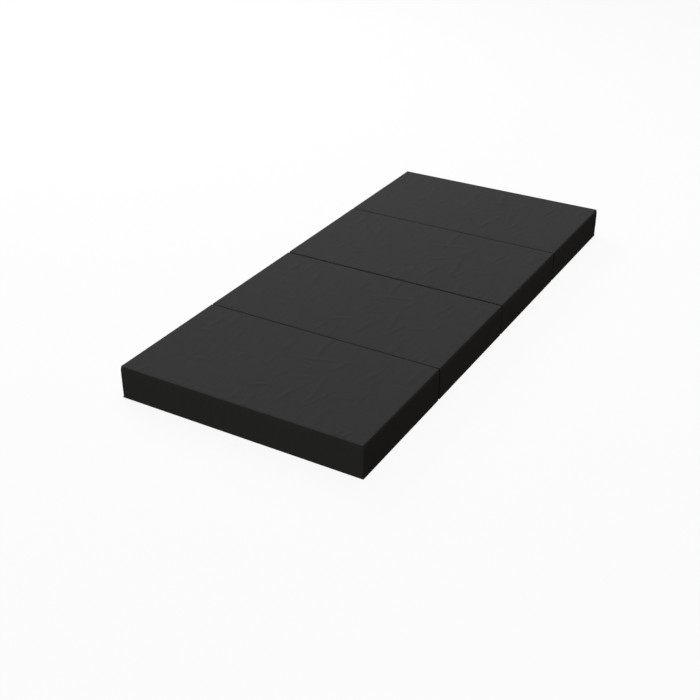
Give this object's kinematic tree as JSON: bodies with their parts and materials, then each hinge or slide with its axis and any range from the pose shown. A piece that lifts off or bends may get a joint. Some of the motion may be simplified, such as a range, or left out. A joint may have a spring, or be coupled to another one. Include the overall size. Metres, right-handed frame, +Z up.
{
  "type": "folding futon mattress",
  "caption": "Single folding futon mattress of boxed foam sections in zipped black fabric covers, joined by cloth hinges that let it fold up in a zigzag.",
  "frame": {"origin": "on the floor under the middle of the mattress, laid flat", "axes": "+X across the mattress towards the side without zips, +Y along it from the first section to the last, +Z up"},
  "size_m": [0.9059, 2, 0.12],
  "materials": {
    "cover_cloth": "black woven polyester, matt with a faint sheen",
    "border_cloth": "black woven polyester, matt",
    "foam": "open-cell polyurethane foam, cut faces",
    "wadding": "white polyester wadding",
    "zip_tape": "woven zip tape, black",
    "zip_coil": "nylon zip coil, black",
    "zip_metal": "black enamelled zinc alloy, worn at the edges"
  },
  "bodies": {
    "section_1": {"foam_core_1": "foam", "wadding_wrap_1": "wadding", "top_panel_1": "cover_cloth", "base_panel_1": "cover_cloth", "border_band_1": "border_cloth", "zip_strip_upper_1": "border_cloth", "zip_strip_lower_1": "border_cloth", "zip_tapes_1": "zip_tape", "zip_coils_1": "zip_coil", "zip_stops_1": "zip_metal"},
    "slider_1": {"zip_slider_1": "zip_metal"},
    "pull_1": {"zip_pull_1": "zip_metal"},
    "section_2": {"foam_core_2": "foam", "wadding_wrap_2": "wadding", "top_panel_2": "cover_cloth", "base_panel_2": "cover_cloth", "border_band_2": "border_cloth", "zip_strip_upper_2": "border_cloth", "zip_strip_lower_2": "border_cloth", "zip_tapes_2": "zip_tape", "zip_coils_2": "zip_coil", "zip_stops_2": "zip_metal", "hinge_strip_1": "border_cloth"},
    "slider_2": {"zip_slider_2": "zip_metal"},
    "pull_2": {"zip_pull_2": "zip_metal"},
    "section_3": {"foam_core_3": "foam", "wadding_wrap_3": "wadding", "top_panel_3": "cover_cloth", "base_panel_3": "cover_cloth", "border_band_3": "border_cloth", "zip_strip_upper_3": "border_cloth", "zip_strip_lower_3": "border_cloth", "zip_tapes_3": "zip_tape", "zip_coils_3": "zip_coil", "zip_stops_3": "zip_metal", "hinge_strip_2": "border_cloth"},
    "slider_3": {"zip_slider_3": "zip_metal"},
    "pull_3": {"zip_pull_3": "zip_metal"},
    "section_4": {"foam_core_4": "foam", "wadding_wrap_4": "wadding", "top_panel_4": "cover_cloth", "base_panel_4": "cover_cloth", "border_band_4": "border_cloth", "zip_strip_upper_4": "border_cloth", "zip_strip_lower_4": "border_cloth", "zip_tapes_4": "zip_tape", "zip_coils_4": "zip_coil", "zip_stops_4": "zip_metal", "hinge_strip_3": "border_cloth"},
    "slider_4": {"zip_slider_4": "zip_metal"},
    "pull_4": {"zip_pull_4": "zip_metal"}
  },
  "joints": [
    {"name": "fold_1", "type": "hinge", "parent": "section_1", "child": "section_2", "pos_m": [0, -0.501, 0.1203], "axis": [1, 0, 0], "range_deg": [0, 180], "deforming": ["hinge_strip_1"]},
    {"name": "fold_2", "type": "hinge", "parent": "section_2", "child": "section_3", "pos_m": [0, 0, -0.0003], "axis": [-1, 0, 0], "range_deg": [0, 180], "deforming": ["hinge_strip_2"]},
    {"name": "fold_3", "type": "hinge", "parent": "section_3", "child": "section_4", "pos_m": [0, 0.501, 0.1203], "axis": [1, 0, 0], "range_deg": [0, 180], "deforming": ["hinge_strip_3"]},
    {"name": "zip_1", "type": "slide", "parent": "section_1", "child": "slider_1", "axis": [0, -1, 0], "range_m": [0, 0.4164]},
    {"name": "pull_flip_1", "type": "hinge", "parent": "slider_1", "child": "pull_1", "pos_m": [-0.4538, -0.5433, 0.0585], "axis": [0, 0, -1], "range_deg": [0, 180]},
    {"name": "zip_2", "type": "slide", "parent": "section_2", "child": "slider_2", "axis": [0, -1, 0], "range_m": [0, 0.4164]},
    {"name": "pull_flip_2", "type": "hinge", "parent": "slider_2", "child": "pull_2", "pos_m": [-0.4538, -0.0423, 0.0585], "axis": [0, 0, -1], "range_deg": [0, 180]},
    {"name": "zip_3", "type": "slide", "parent": "section_3", "child": "slider_3", "axis": [0, -1, 0], "range_m": [0, 0.4164]},
    {"name": "pull_flip_3", "type": "hinge", "parent": "slider_3", "child": "pull_3", "pos_m": [-0.4538, 0.4587, 0.0585], "axis": [0, 0, -1], "range_deg": [0, 180]},
    {"name": "zip_4", "type": "slide", "parent": "section_4", "child": "slider_4", "axis": [0, -1, 0], "range_m": [0, 0.4164]},
    {"name": "pull_flip_4", "type": "hinge", "parent": "slider_4", "child": "pull_4", "pos_m": [-0.4538, 0.9597, 0.0585], "axis": [0, 0, -1], "range_deg": [0, 180]}
  ]
}
